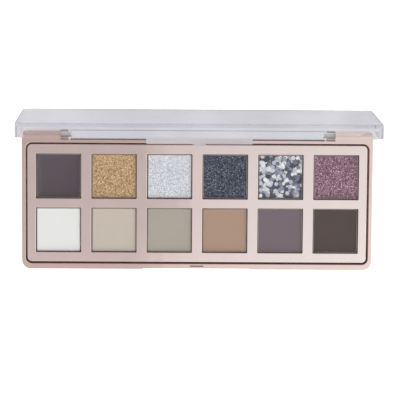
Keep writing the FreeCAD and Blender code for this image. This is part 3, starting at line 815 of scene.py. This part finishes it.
def make_flake_glints():
    """Voronoi cells as flakes. Each has a random tone, a few are sparks, marked for a painted glint,
    and the surface normal plus a random lean, made unit length, is the flake's own normal."""
    group, given, result = start_group(
        "flake_glints",
        {"Tilt": GLINT_TILT},
        {"Tone": "NodeSocketFloat", "Spark": "NodeSocketFloat", "Normal": "NodeSocketVector"},
    )
    cells = add_node(group, "ShaderNodeTexVoronoi", {"Vector": object_place(group), "Scale": GLINT_SCALE})
    drawn = cells.outputs["Color"]
    parts = add_node(group, "ShaderNodeSeparateXYZ", {"Vector": drawn})
    link(group, parts.outputs["X"], result.inputs["Tone"])
    link(group, smooth_ramp(group, parts.outputs["Z"], (0.0, 1.0), SPARK_SPAN), result.inputs["Spark"])
    face = add_node(group, "ShaderNodeNewGeometry").outputs["Normal"]
    lean = add_node(group, "ShaderNodeVectorMath", {0: drawn, 1: GLINT_MIDDLE}, operation="SUBTRACT")
    scaling = {0: lean.outputs[0], "Scale": given.outputs["Tilt"]}
    lean = add_node(group, "ShaderNodeVectorMath", scaling, operation="SCALE")
    tilted = add_node(group, "ShaderNodeVectorMath", {0: face, 1: lean.outputs[0]}, operation="ADD")
    unit = add_node(group, "ShaderNodeVectorMath", {0: tilted.outputs[0]}, operation="NORMALIZE")
    link(group, unit.outputs[0], result.inputs["Normal"])
    return group


FLAKE_GLINTS = make_flake_glints()
print("group:", FLAKE_GLINTS.name)

# %% Finishes: matte, cream and shimmer
MATTE_SPREAD = 0.07
MATTE_SPECULAR = 0.15
MATTE_ROUGHNESS = (0.75, 0.95)
MATTE_RELIEF = 0.01 * MM
CREAM_SPREAD = 0.04
CREAM_SPECULAR = 0.6
CREAM_ROUGHNESS = (0.28, 0.42)
CREAM_GRAIN_SCALE = 1200.0
SHIMMER_TILT = 0.6
SHIMMER_METALLIC = (0.45, 0.9)
SHIMMER_ROUGHNESS = (0.45, 0.25)


def shade_of(colour, factor):
    """A colour made darker or lighter by a factor, with no channel past 1."""
    return (*(min(1.0, channel * factor) for channel in colour[:3]), 1.0)


def spread_tones(tree, share, colour, spread):
    """From colour times (1 - spread) to colour times (1 + spread)."""
    return mix_colours(tree, share, shade_of(colour, 1 - spread), shade_of(colour, 1 + spread))


def matte_powder(name, colour):
    """Chalky powder with a fine speckle in tone, gloss and relief."""
    material, tree, shader = start_material(name, specular_ior_level=MATTE_SPECULAR)
    speckle = place_group(tree, PIGMENT_SPECKLE).outputs["Speckle"]
    link(tree, spread_tones(tree, speckle, colour, MATTE_SPREAD), shader.inputs["Base Color"])
    link(tree, ramp(tree, speckle, MATTE_ROUGHNESS), shader.inputs["Roughness"])
    add_relief(tree, shader, speckle, MATTE_RELIEF)
    return material


def cream_powder(name, colour):
    """A smooth cream with a satin gloss."""
    material, tree, shader = start_material(name, specular_ior_level=CREAM_SPECULAR)
    speckle = place_group(tree, PIGMENT_SPECKLE, grain_scale=CREAM_GRAIN_SCALE).outputs["Speckle"]
    link(tree, spread_tones(tree, speckle, colour, CREAM_SPREAD), shader.inputs["Base Color"])
    link(tree, ramp(tree, speckle, CREAM_ROUGHNESS), shader.inputs["Roughness"])
    return material


def shimmer_powder(name, colour, contrast, spark):
    """Flakes whose tones spread by the contrast, with a few sparks that are more metallic and painted paler
    as glints.
    """
    material, tree, shader = start_material(name)
    glints = place_group(tree, FLAKE_GLINTS, tilt=SHIMMER_TILT * contrast)
    tone = spread_tones(tree, glints.outputs["Tone"], colour, contrast)
    # The sparks' pale colour is a painted glint; their higher metallic is real.
    link(tree, mix_colours(tree, glints.outputs["Spark"], tone, spark), shader.inputs["Base Color"])
    link(tree, ramp(tree, glints.outputs["Spark"], SHIMMER_METALLIC), shader.inputs["Metallic"])
    link(tree, ramp(tree, glints.outputs["Tone"], SHIMMER_ROUGHNESS), shader.inputs["Roughness"])
    link(tree, glints.outputs["Normal"], shader.inputs["Normal"])
    return material


# %% [markdown]
# ## The twelve shades
#
# The back row holds a plum cream, three shimmers, a shade of large flakes and a last shimmer.
# The front row is matte. Each cake could be made by itself; here one table holds the shades'
# colours and finishes, and one loop presses and dresses all twelve, in the order in which they
# lie in the palette.

# %% Press the cakes
FIRST_SEED = 100
SEED_STEP = 10


def linear(red, green, blue):
    """Screen values from 0 to 255 as the linear light that shaders use, by the sRGB curve."""
    share = np.array((red, green, blue)) / 255.0
    light = np.where(share <= 0.04045, share / 12.92, ((share + 0.055) / 1.055) ** 2.4)
    return (*light.tolist(), 1.0)


# Shade: its colour, its finish, and for glittering ones the contrast and the sparks' colour, a painted glint.
SHADES = {
    "plum": (linear(80, 66, 75), "cream"),
    "gold": (linear(180, 144, 109), "shimmer", 0.76, linear(254, 232, 180)),
    "silver": (linear(208, 208, 215), "shimmer", 0.46, linear(251, 251, 253)),
    "slate": (linear(58, 60, 74), "shimmer", 1.0, linear(178, 182, 198)),
    "confetti": (linear(72, 72, 82), "bed", 0.5, linear(150, 152, 166)),
    "mauve": (linear(126, 91, 106), "shimmer", 1.0, linear(252, 211, 232)),
    "white": (linear(231, 230, 228), "matte"),
    "beige": (linear(199, 186, 174), "matte"),
    "sage": (linear(172, 164, 153), "matte"),
    "tan": (linear(174, 145, 127), "matte"),
    "heather": (linear(121, 106, 113), "matte"),
    "espresso": (linear(88, 76, 73), "matte"),
}
# Finish: its height, its material and the number of grid lines each way.
FINISHES = {
    "matte": (matte_height, matte_powder, 121),
    "cream": (cream_height, cream_powder, 121),
    "shimmer": (glitter_height, shimmer_powder, 201),
    "bed": (flake_bed_height, shimmer_powder, 121),
}


def press_cake(shade, seed):
    """One cake in place of its plain block, in its finish."""
    colour, finish, *glitter = SHADES[shade]
    make_height, make_powder, count = FINISHES[finish]
    node = "powder_" + shade
    low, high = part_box(node)
    mesh = cake_mesh(shade + "_cake", low, high, make_height(seed), count)
    mesh.materials.append(make_powder(shade + "_powder", colour, *glitter))
    cake = bpy.data.objects.new(shade + "_cake", mesh)
    bpy.context.scene.collection.objects.link(cake)
    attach(cake, "case")
    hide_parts(node)
    return cake


for number, shade in enumerate(SHADES):
    cake = press_cake(shade, FIRST_SEED + SEED_STEP * number)
    print(cake.name, len(cake.data.polygons), "faces")

# %% [markdown]
# ## Confetti flakes
#
# The fifth shade is a bed of hexagonal foil flakes, each about two millimetres wide, in cream,
# pale lilac grey and slate, lying nearly flat and over each other. A particle system could strew
# them. Here one thin hexagon is repeated as whole arrays: place, size, turn and tilt are drawn
# for all flakes at once. Values kept on each flake's corners pick its tone and cast, and mark
# its border, which gets a painted shade so that flakes of one tone stay apart.

# %% Places and spokes of the flakes
FLAKE_SEED = 31
FLAKE_STEP = 1.36 * MM
FLAKE_ROW = 0.866
FLAKE_SHAKE = FLAKE_STEP / 4
FLAKE_MARGIN = 0.2 * MM
FLAKE_RADIUS = (0.95 * MM, 1.12 * MM)
FLAKE_CORNERS = 6
FLAKE_TURN = math.pi / 3


def flake_places(half, draw):
    """Centres on a triangular lattice, each shaken by a quarter step, kept within the cake."""
    count = int(2 * half / FLAKE_STEP) + 2
    i, j = np.meshgrid(np.arange(count), np.arange(int(count / FLAKE_ROW)))
    x = (i + 0.5 * (j % 2)) * FLAKE_STEP - half
    y = j * FLAKE_ROW * FLAKE_STEP - half
    place = np.stack([x.ravel(), y.ravel()], -1) + draw.normal(0, FLAKE_SHAKE, (x.size, 2))
    return place[np.abs(place).max(-1) < half - FLAKE_MARGIN]


def flake_spokes(place, half, draw):
    """Spoke k of a flake: its radius at a random turn plus k sixths of a turn, cut short at the
    cake's edge."""
    radius = draw.uniform(*FLAKE_RADIUS, len(place))
    turn = draw.uniform(0, FLAKE_TURN, len(place))
    angle = turn[:, None] + np.arange(FLAKE_CORNERS) * FLAKE_TURN
    spoke = np.stack([np.cos(angle), np.sin(angle)], -1) * radius[:, None, None]
    room = (half - np.sign(spoke) * place[:, None, :]) / np.maximum(np.abs(spoke), TINY)
    return spoke * np.minimum(room.min(-1, keepdims=True), 1.0)


# %% Points and faces of the flakes
FLAKE_RINGS = 3
FLAKE_POINTS = FLAKE_RINGS * FLAKE_CORNERS
FLAKE_GAP = 0.03 * MM
FLAKE_TILT = math.radians(5.0)
FLAKE_DEPTH = 0.20 * MM
FLAKE_STACK = 0.14 * MM
FLAKE_BORDER = 0.16
FLAKE_THICK = 0.03 * MM
FLAKE_CLUSTERS = (4 * MM, 9 * MM)
FLAKE_MIX = 1.3


def hexagon_flakes(low, high):
    """A flake's outer ring: its centre plus its spokes, raised by the tilt's slope along them. A
    second ring lies further in on the same spokes, and a third the thickness lower. The tone is
    the rank in a slow random field plus a drawn part, so that like flakes gather in clusters, and
    the border is 1 on the outer rings and 0 on the inner one."""
    draw = np.random.default_rng(FLAKE_SEED)
    half = (high.x - low.x) / 2 - FLAKE_GAP
    centre = (low + high) / 2
    place = flake_places(half, draw)
    count = len(place)
    spoke = flake_spokes(place, half, draw)
    slope = draw.normal(0, math.tan(FLAKE_TILT) / 2, (count, 2))
    lift = np.einsum("nkc,nc->nk", spoke, slope)
    level = high.z - FLAKE_DEPTH + draw.permutation(np.linspace(0.0, FLAKE_STACK, count))
    spread = np.concatenate([spoke, lift[..., None]], -1)
    middle = np.concatenate([place + (centre.x, centre.y), level[:, None]], -1)[:, None, :]
    outer = middle + spread
    inner = middle + (1 - FLAKE_BORDER) * spread
    points = np.concatenate([outer, inner, outer - (0, 0, FLAKE_THICK)], 1).reshape(-1, 3)
    points[:, 2] = np.minimum(points[:, 2], high.z)
    field = ripples(place[:, 0], place[:, 1], FLAKE_CLUSTERS, FLAKE_SEED, waves=40)
    rank = np.argsort(np.argsort(field + draw.normal(0, FLAKE_MIX, count))) / count
    hue = draw.uniform(0, 1, count)
    return points, {
        "flake_tone": np.repeat(rank, FLAKE_POINTS),
        "flake_hue": np.repeat(hue, FLAKE_POINTS),
        "flake_border": np.tile(np.repeat((1.0, 0.0, 1.0), FLAKE_CORNERS), count),
    }


def flake_faces(count):
    """Per flake: the inner hexagon, six border faces round it, six thin sides and the bottom."""
    outer = np.arange(FLAKE_CORNERS)
    after = (outer + 1) % FLAKE_CORNERS
    to_inner = FLAKE_CORNERS
    to_lower = 2 * FLAKE_CORNERS
    start = (np.arange(count) * FLAKE_POINTS)[:, None]
    top = (start + to_inner + outer).tolist()
    bottom = (start + to_lower + outer[::-1]).tolist()
    border = np.stack([outer, after, after + to_inner, outer + to_inner], -1)
    side = np.stack([outer, outer + to_lower, after + to_lower, after], -1)
    quads = (start[:, :, None] + np.concatenate([border, side])[None]).reshape(-1, 4).tolist()
    return top + bottom + quads


# %% Finish: foil
FOIL_METALLIC = 0.3
FOIL_ROUGHNESS = (0.3, 0.5)
FOIL_BORDER_SHADE = (1.03, 0.68)
FOIL_CREASE_SCALE = 2000.0
FOIL_CREASES = (0.78, 1.22)
LILAC_CAST = (0.95, 0.94, 1.03, 1.0)
CREAM_CAST = (1.01, 1.005, 0.985, 1.0)
FOIL_TONES = (
    (0.0, linear(74, 77, 88)),
    (0.28, linear(98, 101, 114)),
    (0.44, linear(143, 143, 159)),
    (0.64, linear(195, 196, 205)),
    (0.84, linear(226, 227, 224)),
    (1.0, linear(238, 239, 233)),
)


def kept_value(tree, name):
    """A value that the mesh keeps on its points."""
    return add_node(tree, "ShaderNodeAttribute", attribute_name=name).outputs["Fac"]


def foil_tones(tree, share):
    """A colour ramp through FOIL_TONES, from slate through lilac grey to cream."""
    node = add_node(tree, "ShaderNodeValToRGB", {"Fac": share})
    stops = node.color_ramp.elements
    while len(stops) < len(FOIL_TONES):
        stops.new(1.0)
    for stop, (position, colour) in zip(stops, FOIL_TONES):
        stop.position = position
        stop.color = colour
    return node.outputs["Color"]


def foil_flakes():
    """Foil in a tone and a cast of its own on each flake, with a painted shade along its border and fine
    creases.
    """
    material, tree, shader = start_material("foil_flakes", metallic=FOIL_METALLIC)
    tone = foil_tones(tree, kept_value(tree, "flake_tone"))
    cast = mix_colours(tree, kept_value(tree, "flake_hue"), LILAC_CAST, CREAM_CAST)
    tinted = add_node(tree, "ShaderNodeVectorMath", {0: tone, 1: cast}, operation="MULTIPLY")
    crease = noise(tree, object_place(tree), FOIL_CREASE_SCALE, detail=3.0)
    # Painted shade along each flake's border, a little lighter in its middle.
    border_shade = ramp(tree, kept_value(tree, "flake_border"), FOIL_BORDER_SHADE)
    factor = math_node(tree, "MULTIPLY", border_shade, ramp(tree, crease, FOIL_CREASES, NOISE_CORE))
    scaling = {0: tinted.outputs[0], "Scale": factor}
    shaded_foil = add_node(tree, "ShaderNodeVectorMath", scaling, operation="SCALE")
    link(tree, shaded_foil.outputs[0], shader.inputs["Base Color"])
    link(tree, ramp(tree, crease, FOIL_ROUGHNESS), shader.inputs["Roughness"])
    return material


# %% Strew the flakes
def strew_flakes():
    """All flakes as one piece on the dark bed."""
    points, attributes = hexagon_flakes(*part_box("powder_confetti"))
    mesh = bpy.data.meshes.new("confetti_flakes")
    mesh.from_pydata(points.tolist(), [], flake_faces(len(points) // FLAKE_POINTS))
    for name, values in attributes.items():
        mesh.attributes.new(name, "FLOAT", "POINT").data.foreach_set("value", values.astype(np.float32))
    mesh.materials.append(foil_flakes())
    flakes = bpy.data.objects.new("confetti_flakes", mesh)
    bpy.context.scene.collection.objects.link(flakes)
    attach(flakes, "case")
    return flakes


print("confetti flakes:", len(strew_flakes().data.polygons), "faces")
